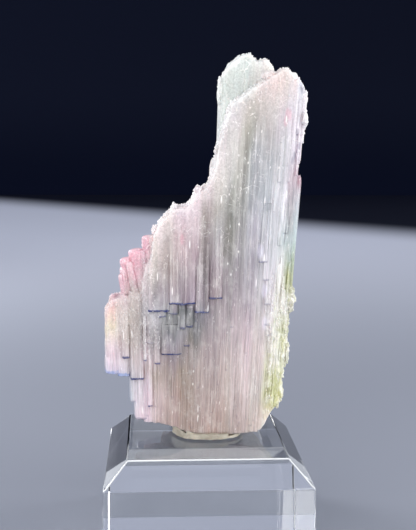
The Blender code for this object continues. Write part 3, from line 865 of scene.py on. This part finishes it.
# white of sugary heads, veils and hairs, and of the painted glints
sugarAndGlintWhite = tint(250, 246, 244)
tourmaline = {
    # colour along the crystals at places across the cluster: x, then height, red, green, blue
    "zones": [
        (-18.8, [
            (33, 198, 192, 208), (36, 212, 196, 206), (39, 218, 202, 206), (41, 222, 208, 200),
            (43, 214, 203, 181), (46, 223, 194, 187), (50, 178, 140, 153),
        ]),
        (-16.4, [
            (28, 188, 198, 210), (32, 196, 194, 208), (35, 200, 188, 200), (38, 200, 186, 190),
            (41, 198, 184, 180), (46, 200, 188, 184), (49, 197, 177, 180), (52, 214, 180, 188),
            (57, 222, 170, 184),
        ]),
        (-14.0, [
            (24, 214, 194, 202), (28, 212, 205, 212), (33, 189, 183, 190), (37, 194, 182, 182),
            (40, 178, 168, 164), (45, 180, 171, 166), (50, 194, 181, 177), (53, 222, 186, 194),
            (58, 220, 168, 182),
        ]),
        (-12.0, [
            (24, 214, 192, 202), (31, 220, 205, 213), (34, 190, 175, 174), (37, 218, 206, 211),
            (41, 167, 159, 163), (46, 180, 176, 180), (50, 208, 198, 200), (54, 200, 188, 188),
            (58, 220, 186, 196), (62, 218, 168, 182),
        ]),
        (-10.0, [
            (24, 180, 158, 156), (29, 209, 191, 190), (34, 172, 158, 150), (37, 196, 182, 184),
            (41, 154, 148, 151), (46, 198, 194, 200), (49, 139, 131, 139), (53, 182, 172, 170),
            (58, 212, 200, 196), (63, 226, 214, 214),
        ]),
        # from x -7.5 to -0.7 the stops from 40 to 48 are darker grey-green: painted shade in the
        # recess under the stepped prisms' feet
        (-7.5, [
            (23, 178, 158, 154), (29, 180, 162, 158), (33, 166, 150, 144), (37, 146, 132, 135),
            (40, 139, 132, 141), (43, 119, 119, 122), (46, 146, 147, 148), (49, 166, 156, 164),
            (55, 154, 140, 137), (60, 176, 164, 162), (64, 208, 196, 194), (67, 222, 212, 212),
        ]),
        (-4.8, [
            (22, 170, 150, 143), (29, 175, 154, 146), (34, 152, 137, 126), (37, 138, 127, 126),
            (40, 154, 146, 152), (43, 148, 148, 152), (46, 102, 105, 107), (49, 134, 119, 129),
            (54, 144, 130, 136), (58, 182, 162, 166), (61, 188, 164, 168), (66, 214, 200, 206),
        ]),
        (-2.5, [
            (22, 168, 147, 140), (32, 163, 147, 138), (37, 156, 144, 142), (40, 126, 120, 115),
            (43, 120, 120, 121), (46, 110, 112, 115), (49, 164, 150, 162), (54, 166, 150, 158),
            (59, 174, 156, 162), (64, 202, 186, 190), (69, 220, 208, 212),
        ]),
        # the dark stops from 48 to 60 here are painted shade beside the proud prism to the left
        (-0.7, [
            (22, 177, 158, 153), (34, 178, 163, 160), (38, 166, 154, 154), (42, 128, 123, 125),
            (46, 132, 127, 137), (48, 122, 111, 119), (54, 98, 87, 92), (60, 126, 114, 114),
            (65, 154, 142, 138), (70, 202, 190, 192),
        ]),
        (1.8, [
            (22, 173, 152, 144), (30, 175, 159, 154), (40, 162, 149, 151), (46, 158, 150, 153),
            (50, 142, 125, 130), (55, 164, 151, 158), (62, 177, 173, 175), (67, 178, 172, 168),
            (72, 202, 196, 192), (77, 204, 198, 198), (82, 192, 188, 188), (88, 228, 227, 225),
        ]),
        (4.2, [
            (22, 174, 154, 146), (34, 191, 176, 172), (43, 178, 166, 169), (50, 154, 144, 149),
            (56, 136, 130, 132), (63, 149, 145, 142), (67, 144, 144, 140), (73, 192, 190, 186),
            (79, 211, 206, 203), (85, 206, 200, 202), (90, 206, 208, 206),
        ]),
        (6.5, [
            (22, 178, 162, 158), (34, 200, 186, 184), (43, 182, 168, 172), (50, 154, 144, 151),
            (58, 152, 148, 152), (67, 138, 138, 139), (74, 160, 157, 156), (79, 154, 150, 145),
            (83, 196, 189, 184), (88, 202, 194, 190), (92, 198, 204, 202),
        ]),
        (9.0, [
            (22, 188, 172, 168), (32, 211, 197, 195), (40, 204, 188, 192), (48, 170, 160, 167),
            (52, 182, 176, 182), (57, 168, 164, 172), (64, 178, 176, 184), (70, 162, 166, 171),
            (78, 170, 172, 175), (82, 182, 180, 177), (87, 192, 184, 178), (91, 218, 206, 204),
        ]),
        (11.2, [
            (22, 196, 182, 176), (30, 201, 193, 188), (38, 210, 196, 194), (48, 191, 185, 189),
            (53, 208, 204, 210), (58, 179, 177, 185), (67, 168, 170, 177), (72, 184, 187, 192),
            (77, 168, 170, 174), (82, 180, 176, 176), (87, 204, 198, 194), (92, 224, 206, 202),
        ]),
        (13.0, [
            (24, 206, 192, 182), (28, 204, 202, 170), (33, 204, 202, 176), (40, 192, 186, 180),
            (44, 226, 220, 222), (52, 216, 210, 216), (60, 196, 198, 202), (70, 204, 204, 209),
            (80, 192, 190, 194), (85, 198, 188, 193), (91, 212, 200, 196),
        ]),
        (14.6, [
            (25, 226, 212, 204), (28, 207, 208, 156), (33, 198, 200, 158), (37, 226, 224, 214),
            (42, 222, 222, 210), (46, 214, 213, 203), (50, 219, 217, 208), (55, 226, 226, 223),
            (60, 176, 186, 188), (64, 212, 213, 218), (69, 212, 211, 218), (73, 190, 185, 193),
            (80, 196, 194, 200), (84, 204, 194, 202), (87, 204, 199, 206), (93, 218, 206, 204),
        ]),
        (16.0, [
            (26, 220, 212, 176), (28, 212, 210, 152), (32, 182, 184, 126), (36, 218, 217, 194),
            (40, 206, 206, 174), (44, 192, 193, 168), (46.4, 228, 225, 220), (49, 224, 221, 214),
            (51, 186, 187, 158), (54, 158, 164, 124), (57, 152, 164, 150), (61, 160, 172, 173),
            (65, 150, 152, 156), (69, 156, 147, 156), (73, 180, 164, 173), (77, 194, 187, 198),
            (84, 222, 215, 221), (88, 200, 197, 204), (91, 196, 198, 206),
        ]),
        (17.4, [
            (28, 196, 198, 150), (34, 204, 207, 172), (38, 206, 206, 180), (43, 190, 192, 156),
            (48, 180, 178, 166), (52, 168, 174, 134), (57, 168, 181, 166), (61, 184, 199, 201),
            (66, 194, 199, 205), (70, 196, 188, 196), (72, 178, 142, 156), (76, 206, 190, 200),
            (82, 228, 222, 226),
        ]),
    ],
    "lowest": 20,
    "span": 80,
    # small marks on the front: half width, half height, share and colour, then their places
    "marks": [
        (0.5, 1.5, 0.38, (216, 156, 174), [
            (13.5, 84.2), (13.7, 85.6), (14.2, 85.3), (-4.9, 61),
        ]),
        # painted shade: dark grey-violet patches at the tower's right edge
        (0.45, 1.1, 0.6, (116, 112, 132), [
            (15.4, 76.5), (15.7, 77.4), (16.5, 79.3), (16.3, 90.2), (15.9, 82),
        ]),
        (0.17, 3.2, 0.75, (110, 112, 118), [
            (15.3, 67), (15.7, 64.2), (16.1, 69.4), (15.1, 62),
        ]),
        # painted sheen: soft light streaks on the tower's right
        (0.4, 2.4, 0.3, (250, 246, 252), [
            (14.2, 66), (14.6, 70), (13.9, 62.5),
        ]),
        # painted highlights on the pale ledges at the right
        (0.8, 2, 0.4, (236, 232, 248), [
            (10.3, 58.6), (11.6, 50.6), (12.1, 44),
        ]),
        # painted glints: short white bars of reflected light
        (0.16, 1.1, 0.8, (250, 246, 244), [
            (-6.7, 50.8), (0.4, 47.1), (-1.1, 24.6), (-1.1, 26.6), (2.4, 68.8), (10.6, 68.6),
            (14.7, 69.9), (11.1, 57.3), (-16.6, 41.7), (-14.9, 42), (-13.1, 26.3),
            (-3.4, 60), (9.9, 52.2), (-9.6, 53.6), (13.6, 84.5),
        ]),
        # painted sparkle highlights: small white dots
        (0.2, 0.35, 0.65, (250, 246, 244), [
            (-2.2, 34.3), (-2.3, 31.7), (12.8, 75.1), (7.1, 76), (4.1, 56.1), (6.1, 58.5),
            (4.8, 53.9), (3.2, 71.4), (3.9, 69.8),
        ]),
    ],
    # where single grains hide the striations: share, x over which it sets in, and height
    "granular": [
        (1, [(6.4, 3), (-3, -1)], (56, 66)),
        (0.6, [], (82, 90)),
        (1, [(-7.2, -9.4)], (37, 43)),
        (0.4, [(5.6, 7.6)], (60, 72)),
    ],
    "softest": 0.95,                    # the most that these hide
    "mintSoftness": 0.4,                # on the crystal behind
    "grainShare": 0.85,                 # how far the grains' clouds then take the lines' place
    "stripes": (2.3, 3, 0.06),          # per millimetre, swing and contrast
    "crack": (4.7, 35.4, 0.027, 0.06),  # x from the middle, top, slope and sway
    "hairs": (620, 2.2, 0.1, 0.36),     # cells per metre and their bend, fewest, more on grains
    "hairyPatch": 0.3,                  # more of them again, below the tower's head
    "oliveLine": (0.165, 5.4),          # slope, and x to the left of the middle
    "sways": {"borders": 3, "heights": 7, "ragged": 6},
    "frayed": 0.3,                      # share of the borders' sway at the olive and the strip
    "navy": tint(46, 55, 106),
    "paleBlue": tint(122, 146, 200),
    # layers of colour: how strong, and which shade
    "layers": {
        "mint": (0.6, tint(208, 216, 212)),
        # painted shade of the valley up the tower
        "oliveValleyShade": (0.55, tint(196, 198, 186)),
        "yellowGreen": (0.4, tint(200, 203, 152)),
        "cream": (0.6, tint(244, 242, 232)),
        "lilac": (0.16, tint(206, 184, 200)),
        "greyGreen": (0.2, tint(194, 204, 192)),
        "crack": (0.5, tint(120, 98, 82)),
        "veils": (0.16, sugarAndGlintWhite),
        # flecks and sparks are painted glints
        "glintFlecks": (0.75, sugarAndGlintWhite),
        "sparks": (0.5, sugarAndGlintWhite),
        "hairs": (1, sugarAndGlintWhite),
        # painted glitter glints
        "glitterGlints": (0.5, sugarAndGlintWhite),
        "heads": (0.3, sugarAndGlintWhite),
    },
    # where things set in and where they are full: places, or levels of a noise; then their range
    "ramps": {
        "mintDepth": (0.001, 0.0026),
        "mintHeight": (76, 82),
        "sugary": (12, 4),
        "oliveAside": (3.6, 0.2),
        "oliveFoot": (54, 60),
        "oliveHead": (90, 82),
        "stripSide": (12.4, 13.4),
        "stripTop": (52, 48),
        "yellowGreen": (0.47, 0.38),
        "cream": (0.5, 0.6),
        "lilac": (0.42, 0.62),
        "greyGreen": (0.52, 0.34),
        "fine": (0.36, 0.64, 0.84, 1.12),
        "short": (0.36, 0.64, 0.91, 1.08),
        "grain": (0.36, 0.62, 0.82, 1.12),
        "crack": (0.012, 0.002),
        "veils": (0.48, 0.66),
        "glintFlecks": (0.685, 0.73),
        "sparks": (0.75, 0.79),
        "patches": (0.49, 0.57),
        "breaks": (0.47, 0.56),
        "hairs": (0.045, 0.012),
        "hairyFoot": (66, 72),
        "hairyRight": (10, 7),
        "hairyLeft": (1, 4),
        "glitterGlints": (0.61, 0.68),
        "glitterRight": (-9, -10),
        "glitterFoot": (37, 40),
        "glitterLeft": (-14, -11.6, 0.5, 1),
        "front": (0, -0.001),
        "heads": (2.2, 0.4),
        "paleSide": (-15.4, -15.8),
        "paleTop": (36, 35.4),
        "feet": (0.75, 0.45),
        "gloss": (0.42, 0.62, 0.24, 0.5),
    },
    # noises drawn out along the crystals, and plain ones: cells per millimetre along x, y and z,
    # then detail and roughness
    "streaks": {
        "borders": (0.45, 0.45, 0.05),
        "heights": (0.7, 0.5, 0.06),
        "ragged": (0.5, 0.5, 0.3, 3),
        "broad": (0.7, 0.6, 0.02, 2, 0.6),
        "fine": (3.2, 2.4, 0.08, 4, 0.8),
        "short": (4.6, 3, 0.24, 3, 0.7),
        "swing": (0.6, 0.6, 0.05),
        "glintFlecks": (3.6, 3.6, 0.7, 2, 0.6),
        "feet": (1.4, 0.8, 0.3),
        "relief": (4.2, 3.4, 0.12, 4, 0.65),
        "gloss": (1.6, 1.6, 0.09),
    },
    "clouds": {
        "mottle": (0.9, 0.9, 0.55, 4, 0.7),
        "grain": (2.6, 2.6, 2.2, 4, 0.75),
        "veils": (0.5, 0.5, 0.28, 5, 0.7),
        "sparks": (4, 4, 4, 2, 0.6),
        "bends": (0.4, 0.4, 0.4),
        "patches": (0.35, 0.35, 0.35),
        "breaks": (1.5, 1.5, 1.5, 1),
        "glitterGlints": (3.2, 3.2, 1.5, 1),
    },
}


def paintCrystals():
    paint = Paint("pale tourmaline")
    place = paint.place()
    x, depth, z = paint.parts(place)
    x, z = x / mm, z / mm
    still = unfanned(x, z)
    along = paint.node("ShaderNodeCombineXYZ", {}, {0: still * mm, 1: depth, 2: z * mm})
    streaks = {name: paint.noise(along, *row) for name, row in tourmaline["streaks"].items()}
    clouds = {name: paint.noise(place, *row) for name, row in tourmaline["clouds"].items()}

    def ramp(name, value):
        return paint.step(value, *tourmaline["ramps"][name])

    def sway(name):
        return (streaks[name] - 0.5) * tourmaline["sways"][name]

    def lay(colour, name, mask, blend="MIX"):
        share, shade = tourmaline["layers"][name]
        return paint.mix(mask * share, colour, shade, blend)

    # the colour zones, blended across with a ragged border
    border = sway("borders")
    across = still + border
    lowest, span = tourmaline["lowest"], tourmaline["span"]
    height = (z + sway("heights") - lowest) / span
    colour = None
    for at, stops in tourmaline["zones"]:
        shades = [((stop - lowest) / span, tint(*shade)) for stop, *shade in stops]
        band = paint.node("ShaderNodeValToRGB", {"stops": shades}, {"Fac": height})
        colour = paint.mix(paint.step(across, last, at), colour, band) if colour else band
        last = at

    # the crystal behind is mint
    mint = ramp("mintDepth", depth) * ramp("mintHeight", z)
    colour = lay(colour, "mint", mint)

    # distance below the own head, and thereby where the crystals look sugary
    sugary, below, _ = paint.uv("crown")
    ragged = sway("ragged")
    below = below + ragged
    level = z + ragged
    soft = 0.0
    for share, sides, rise in tourmaline["granular"]:
        patch = paint.step(level, *rise) * share
        for side in sides:
            patch = patch * paint.step(across, *side)
        soft = patch + soft
    soft = paint.node("ShaderNodeClamp", {}, {0: soft, 1: 0.0, 2: tourmaline["softest"]})
    granular = (1 - sugary * ramp("sugary", below)) * (1 - soft)
    granular = 1 - granular * (1 - mint * tourmaline["mintSoftness"])

    # painted shade of a shallow valley, olive grey, slants up the tower, and the strip at the right
    # is mottled
    frayed = border * tourmaline["frayed"]
    slope, aside = tourmaline["oliveLine"]
    aside = x + frayed - z * slope + aside
    oliveValleyShade = ramp("oliveAside", aside * aside) * ramp("oliveFoot", z) * ramp("oliveHead", z)
    colour = lay(colour, "oliveValleyShade", oliveValleyShade, "MULTIPLY")
    strip = ramp("stripSide", still + frayed) * ramp("stripTop", level)
    for name in ("yellowGreen", "cream"):
        colour = lay(colour, name, strip * ramp(name, clouds["mottle"]))

    # striations: broad lilac and grey-green ones, then fine light and dark lines
    for name in ("lilac", "greyGreen"):
        colour = lay(colour, name, ramp(name, streaks["broad"]), "MULTIPLY")
    perMm, swing, contrast = tourmaline["stripes"]
    turns = still * perMm + streaks["swing"] * swing
    stripe = paint.node("ShaderNodeMath", {"operation": "SINE"}, {0: turns * (2 * math.pi)})
    lines = ramp("fine", streaks["fine"]) * ramp("short", streaks["short"])
    lines = lines * (stripe * contrast + 1)
    grainy = granular * tourmaline["grainShare"]
    shade = lines * (1 - grainy) + ramp("grain", clouds["grain"]) * grainy
    colour = paint.vector("SCALE", {0: colour, "Scale": shade})

    # a fine brown crack runs down from the steps
    crackAt, crackTop, crackSlope, crackSway = tourmaline["crack"]
    crack = still + border * crackSway + crackAt + (crackTop - z) * crackSlope
    crack = ramp("crack", crack * crack) * paint.step(z, crackTop, crackTop - 1)
    colour = lay(colour, "crack", crack)

    # milky veils, painted glints as short white flecks and sparks, curled white hairs, and painted
    # glitter specks at the left
    curls, bend, fewest, more = tourmaline["hairs"]
    curl = paint.vector("SCALE", {0: place, "Scale": clouds["bends"] * bend + curls})
    edges = {"feature": "DISTANCE_TO_EDGE"}
    cells = paint.node("ShaderNodeTexVoronoi", edges, {"Vector": curl, "Scale": 1.0})
    broken = ramp("patches", clouds["patches"]) * ramp("breaks", clouds["breaks"])
    hairy = ramp("hairyFoot", level) * ramp("hairyRight", across) * ramp("hairyLeft", across)
    hairy = granular * more + hairy * tourmaline["hairyPatch"] + fewest
    glittery = ramp("glitterRight", across) * ramp("glitterFoot", level) * ramp("glitterLeft", across)
    whites = {
        "veils": ramp("veils", clouds["veils"]),
        "glintFlecks": ramp("glintFlecks", streaks["glintFlecks"]),
        "sparks": ramp("sparks", clouds["sparks"]),
        "hairs": ramp("hairs", cells) * broken * hairy,
        "glitterGlints": ramp("glitterGlints", clouds["glitterGlints"]) * glittery,
    }
    for name, mask in whites.items():
        colour = lay(colour, name, mask)
    # the marks lay pink blushes, dark streaks, painted shade, and painted sheens, highlights and
    # glints on the front
    front = ramp("front", depth)
    for halfWide, halfTall, share, shade, places in tourmaline["marks"]:
        spots = paint.marks(along, places, halfWide, halfTall) * front
        colour = paint.mix(spots * share, colour, tint(*shade))

    # sugary white heads and grains, and thin blue feet, paler at the far left
    colour = lay(colour, "heads", sugary * ramp("heads", below))
    blue, above, _ = paint.uv("growth")
    pale = ramp("paleSide", still) * ramp("paleTop", z)
    above = above + streaks["feet"] * 0.5 * (pale + 1) - pale * 0.5
    blue = blue * (1 - pale * 0.15) * ramp("feet", above)
    colour = paint.mix(blue, colour, paint.mix(pale, tourmaline["navy"], tourmaline["paleBlue"]))

    # glints and grain in the surface
    relief = streaks["relief"] * (0.8 - granular * 0.7) + clouds["grain"] * (granular * 0.9 + 0.1)
    bump = {"Strength": 0.6, "Distance": 0.14 * mm, "Height": relief}
    gloss = ramp("gloss", streaks["gloss"])
    return paint.finish({
        "Base Color": colour,
        "Roughness": gloss + granular * 0.15,
        "IOR": 1.62,
        "Subsurface Weight": 0.85,
        "Subsurface Radius": (1.0, 0.9, 0.85),
        "Subsurface Scale": 3 * mm,
        "Coat Weight": 0.25 - granular * 0.2,
        "Coat Roughness": 0.16,
        "Normal": paint.node("ShaderNodeBump", {}, bump),
    }, subsurface_method="RANDOM_WALK")


def paintBlock():
    paint = Paint("polished clear acrylic")
    wear = paint.step(paint.noise(paint.place(), 0.3, 0.3, 0.3, 6, 0.7), 0.55, 0.8, 0.0, 0.06)
    return paint.finish({
        "Base Color": (0.96, 0.975, 0.985, 1.0),
        "Roughness": wear,
        "IOR": 1.49,
        "Transmission Weight": 1.0,
    })


def paintPutty():
    paint = Paint("grey putty")
    place = paint.place()
    patches = paint.noise(place, 0.5, 0.5, 0.9, 4, 0.6)
    specks = paint.noise(place, 3, 3, 3, 3, 0.6)
    colour = paint.mix(paint.step(patches, 0.35, 0.65), tint(154, 147, 134), tint(184, 177, 162))
    colour = paint.mix(paint.step(specks, 0.6, 0.75) * 0.5, colour, tint(124, 114, 98))
    bump = {"Strength": 0.8, "Distance": 0.15 * mm, "Height": specks + patches * 0.6}
    return paint.finish({
        "Base Color": colour,
        "Roughness": 0.72,
        "Subsurface Weight": 0.1,
        "Subsurface Scale": 0.5 * mm,
        "Normal": paint.node("ShaderNodeBump", {}, bump),
    })


def dress(piece, material, node):
    piece.data.materials.clear()
    piece.data.materials.append(material)
    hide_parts(node)
    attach(piece, "root")


dress(cluster, paintCrystals(), "tourmaline_cluster")
dress(acrylic, paintBlock(), "acrylic_base")
dress(pad, paintPutty(), "mounting_putty")
print("materials made")

# the studio: pale floor, soft lights, and behind them a plane in the painted shade of an unlit room

studio = {
    # size, place and tilt of the floor and of the curtain
    "studioFloor": (2.4, (0, -0.05, -0.0002), 0),
    "darkCurtain": (2.0, (0.1, 1.3, 0.4), 90),
    "floorTint": tint(134, 138, 150),
    "farTint": tint(206, 210, 226),
    "paler": (0.1, 0.6),         # how far behind the object the floor turns paler
    "darker": (0.72, 0.93),      # x and y together where it turns dark
    # painted shade of the unlit room behind, darker towards the bottom
    "roomShadeTint": (0.0055, 0.008, 0.022, 1.0),
    "roomShadeFoot": (0.0006, 0.0022, 0.012, 1.0),
    "curtainFade": (0.0, 0.16),
    "curtainTop": (0.33, 0.37),  # above this the room behind is pale again
    "roomTint": (0.66, 0.68, 0.72, 1.0),
    "aim": (0.0, 0.0, 0.055),
    # place, size, power and colour of each soft light
    "lights": {
        "keyLight": ((-0.2, -0.5, 0.13), 0.3, 2.15, (1.0, 0.98, 0.95)),
        "fillLight": ((0.42, -0.22, 0.12), 0.26, 1.2, (1.0, 0.99, 0.97)),
        "topLight": ((0.02, 0.14, 0.42), 0.3, 0.18, (1.0, 1.0, 1.0)),
        "leftRimLight": ((-0.3, 0.22, 0.16), 0.2, 0.9, (1.0, 1.0, 1.0)),
        "rightRimLight": ((0.42, 0.14, 0.14), 0.2, 0.8, (1.0, 1.0, 1.0)),
    },
}


def paintStage(name, colourAt):
    paint = Paint(name)
    colour = colourAt(paint, *paint.parts(paint.place()))
    return paint.finish({"Base Color": colour, "Roughness": 0.9, "Specular IOR Level": 0.1})


def floorColour(paint, x, y, z):
    # a little paler further back, and fading into the painted shade of the room along a slanting
    # line
    colour = paint.mix(paint.step(y, *studio["paler"]), studio["floorTint"], studio["farTint"])
    return paint.mix(paint.step(x + y, *studio["darker"]), colour, studio["roomShadeFoot"])


def curtainColour(paint, x, y, z):
    # painted shade of an unlit room: darker towards the bottom, paler again above the top line
    rise = paint.step(z, *studio["curtainFade"])
    dark = paint.mix(rise, studio["roomShadeFoot"], studio["roomShadeTint"])
    return paint.mix(paint.step(z, *studio["curtainTop"]), dark, studio["farTint"])


def makeWall(name, material):
    size, place, tilt = studio[name]
    bpy.ops.mesh.primitive_plane_add(size=size)
    wall = bpy.context.object
    wall.name = name
    turn = Euler((math.radians(tilt), 0, 0))
    wall.data.transform(Matrix.LocRotScale(Vector(place), turn, None))
    wall.data.materials.append(material)


def makeStudio():
    makeWall("studioFloor", paintStage("pale floor", floorColour))
    makeWall("darkCurtain", paintStage("dark curtain", curtainColour))
    aim = Vector(studio["aim"])
    for name, (place, size, power, warmth) in studio["lights"].items():
        light = bpy.data.lights.new(name, "AREA")
        light.size = size
        light.energy = power
        light.color = warmth
        lamp = bpy.data.objects.new(name, light)
        lamp.location = place
        lamp.rotation_euler = (aim - Vector(place)).to_track_quat("-Z", "Y").to_euler()
        bpy.context.scene.collection.objects.link(lamp)
    room = bpy.data.worlds.new("studioRoom")
    room.use_nodes = True
    room.node_tree.nodes["Background"].inputs["Color"].default_value = studio["roomTint"]
    bpy.context.scene.world = room
    bpy.context.scene.view_settings.view_transform = "Standard"


camera = {
    "place": (-0.0111, -0.1934, 0.0812),
    "turn": -3.46,
    "tilt": -7.60,
    "roll": 0.32,
    "lens": 65.75,
}


def makeCamera():
    eye = bpy.data.cameras.new("camera")
    eye.lens = camera["lens"]
    eye.sensor_width = 36.0
    eye.clip_start = 0.001
    stand = bpy.data.objects.new("camera", eye)
    bpy.context.scene.collection.objects.link(stand)
    turn, tilt, roll = (math.radians(camera[name]) for name in ("turn", "tilt", "roll"))
    stand.matrix_world = (
        Matrix.Translation(camera["place"])
        @ Matrix.Rotation(turn, 4, "Z")
        @ Matrix.Rotation(math.pi / 2 + tilt, 4, "X")
        @ Matrix.Rotation(roll, 4, "Z")
    )
    bpy.context.scene.camera = stand


makeStudio()
makeCamera()
deselectAll()
print("studio made")
